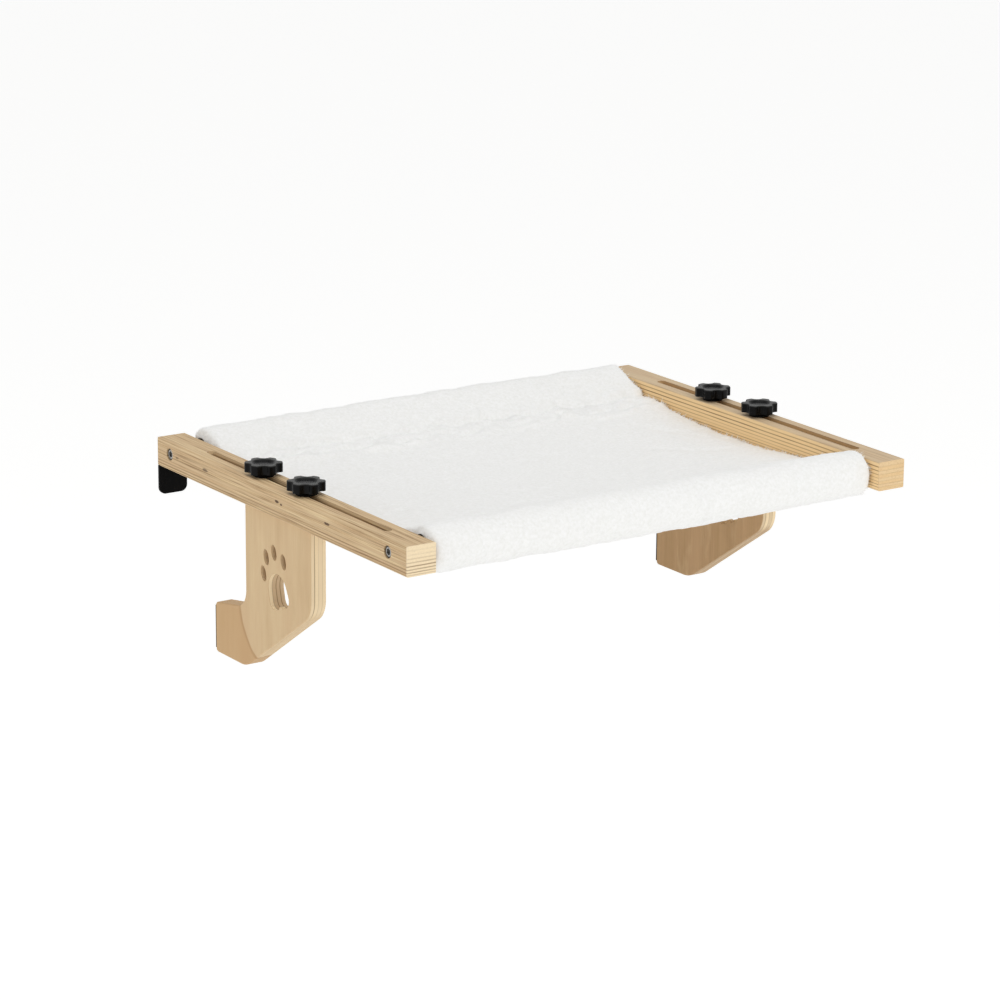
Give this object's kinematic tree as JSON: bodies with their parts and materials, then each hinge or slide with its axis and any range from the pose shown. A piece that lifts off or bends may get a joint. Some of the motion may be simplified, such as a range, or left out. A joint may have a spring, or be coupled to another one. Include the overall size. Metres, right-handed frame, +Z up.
{
  "type": "hanging cat bed",
  "caption": "Clamp-on cat hammock: plush sling on rods between slotted plywood rails, with sliding hooks that star knobs lock under a sill.",
  "frame": {"origin": "midway between the rails, level with their undersides, at the front faces of the rear brackets: the top rear corner line of the sill that is clamped", "axes": "+X across the bed to its right rail, +Y to the rear, towards the window or wall, +Z up"},
  "size_m": [0.5039, 0.4, 0.1826],
  "materials": {
    "birch_rail": "sanded birch plywood, clear satin lacquer",
    "birch_hook": "sanded birch plywood, clear satin lacquer",
    "rod_steel": "black powder coat",
    "plug_plastic": "moulded nylon",
    "screw_steel": "black oxide",
    "bracket_screw_steel": "black oxide",
    "plush": "short white plush pile",
    "bracket_steel": "matt black powder coat",
    "jaw_rubber": "black rubber",
    "zinc_steel": "bright zinc",
    "knob_plastic": "black moulded nylon, satin gloss"
  },
  "bodies": {
    "frame": {"left_rail": "birch_rail", "right_rail": "birch_rail", "front_rod": "rod_steel", "rear_rod": "rod_steel", "front_left_rod_plug": "plug_plastic", "front_left_rod_screw": "screw_steel", "front_right_rod_plug": "plug_plastic", "front_right_rod_screw": "screw_steel", "rear_left_rod_plug": "plug_plastic", "rear_left_rod_screw": "screw_steel", "rear_right_rod_plug": "plug_plastic", "rear_right_rod_screw": "screw_steel", "sling": "plush", "left_bracket": "bracket_steel", "left_bracket_screws": "bracket_screw_steel", "right_bracket": "bracket_steel", "right_bracket_screws": "bracket_screw_steel"},
    "left_hook": {"left_hook": "birch_hook", "left_jaw_pad": "jaw_rubber", "left_front_insert": "zinc_steel", "left_rear_insert": "zinc_steel", "left_front_washer": "zinc_steel", "left_rear_washer": "zinc_steel"},
    "left_front_stud": {"left_front_stud": "zinc_steel"},
    "left_front_knob": {"left_front_knob": "knob_plastic"},
    "left_rear_stud": {"left_rear_stud": "zinc_steel"},
    "left_rear_knob": {"left_rear_knob": "knob_plastic"},
    "right_hook": {"right_hook": "birch_hook", "right_jaw_pad": "jaw_rubber", "right_front_insert": "zinc_steel", "right_rear_insert": "zinc_steel", "right_front_washer": "zinc_steel", "right_rear_washer": "zinc_steel"},
    "right_front_stud": {"right_front_stud": "zinc_steel"},
    "right_front_knob": {"right_front_knob": "knob_plastic"},
    "right_rear_stud": {"right_rear_stud": "zinc_steel"},
    "right_rear_knob": {"right_rear_knob": "knob_plastic"}
  },
  "joints": [
    {"name": "left_hook_slide", "type": "slide", "parent": "frame", "child": "left_hook", "axis": [0, 1, 0], "range_m": [-0.1247, 0.0877]},
    {"name": "left_front_stud_lift", "type": "slide", "parent": "left_hook", "child": "left_front_stud", "axis": [0, 0, 1], "range_m": [0, 0.003]},
    {"name": "left_front_knob_turn", "type": "hinge", "parent": "left_front_stud", "child": "left_front_knob", "pos_m": [-0.2365, -0.22325, 0.0266], "axis": [0, 0, 1], "range_deg": [0, 1080]},
    {"name": "left_rear_stud_lift", "type": "slide", "parent": "left_hook", "child": "left_rear_stud", "axis": [0, 0, 1], "range_m": [0, 0.003]},
    {"name": "left_rear_knob_turn", "type": "hinge", "parent": "left_rear_stud", "child": "left_rear_knob", "pos_m": [-0.2365, -0.15475, 0.0266], "axis": [0, 0, 1], "range_deg": [0, 1080]},
    {"name": "right_hook_slide", "type": "slide", "parent": "frame", "child": "right_hook", "axis": [0, 1, 0], "range_m": [-0.1347, 0.0777]},
    {"name": "right_front_stud_lift", "type": "slide", "parent": "right_hook", "child": "right_front_stud", "axis": [0, 0, 1], "range_m": [0, 0.003]},
    {"name": "right_front_knob_turn", "type": "hinge", "parent": "right_front_stud", "child": "right_front_knob", "pos_m": [0.2365, -0.21325, 0.0266], "axis": [0, 0, 1], "range_deg": [0, 1080]},
    {"name": "right_rear_stud_lift", "type": "slide", "parent": "right_hook", "child": "right_rear_stud", "axis": [0, 0, 1], "range_m": [0, 0.003]},
    {"name": "right_rear_knob_turn", "type": "hinge", "parent": "right_rear_stud", "child": "right_rear_knob", "pos_m": [0.2365, -0.14475, 0.0266], "axis": [0, 0, 1], "range_deg": [0, 1080]}
  ],
  "couplings": [
    {"joint": "left_front_knob_turn", "follows": "left_front_stud_lift", "rad_per_m": 6283.2},
    {"joint": "left_rear_knob_turn", "follows": "left_rear_stud_lift", "rad_per_m": 6283.2},
    {"joint": "right_front_knob_turn", "follows": "right_front_stud_lift", "rad_per_m": 6283.2},
    {"joint": "right_rear_knob_turn", "follows": "right_rear_stud_lift", "rad_per_m": 6283.2}
  ]
}
